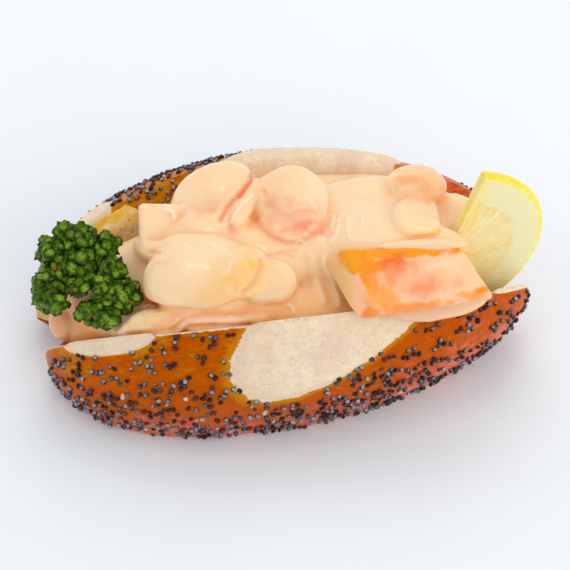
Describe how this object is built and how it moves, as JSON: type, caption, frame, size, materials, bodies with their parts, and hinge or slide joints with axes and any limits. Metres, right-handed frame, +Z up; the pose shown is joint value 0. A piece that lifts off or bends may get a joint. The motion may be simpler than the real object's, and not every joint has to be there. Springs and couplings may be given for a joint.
{
  "type": "surimi sandwich",
  "caption": "Poppy-seed roll split along its top and filled with surimi salad in a creamy pink sauce, with a surimi slab, a lemon half slice and a curly parsley sprig.",
  "frame": {"origin": "on the table, under the middle of the roll's flat base", "axes": "+X along the roll from the parsley end to the lemon end, +Y towards the half that leans out less, +Z up"},
  "size_m": [0.1464, 0.0879, 0.068],
  "materials": {
    "roll": "glossy baked crust",
    "surimi_salad": "wet sauce",
    "surimi_slab": "wet sauce",
    "lemon_slice": "moist",
    "parsley_sprig": "satin leaf"
  },
  "bodies": {
    "root": {"roll": "roll", "surimi_salad": "surimi_salad", "surimi_slab": "surimi_slab", "lemon_slice": "lemon_slice", "parsley_sprig": "parsley_sprig"}
  },
  "joints": []
}
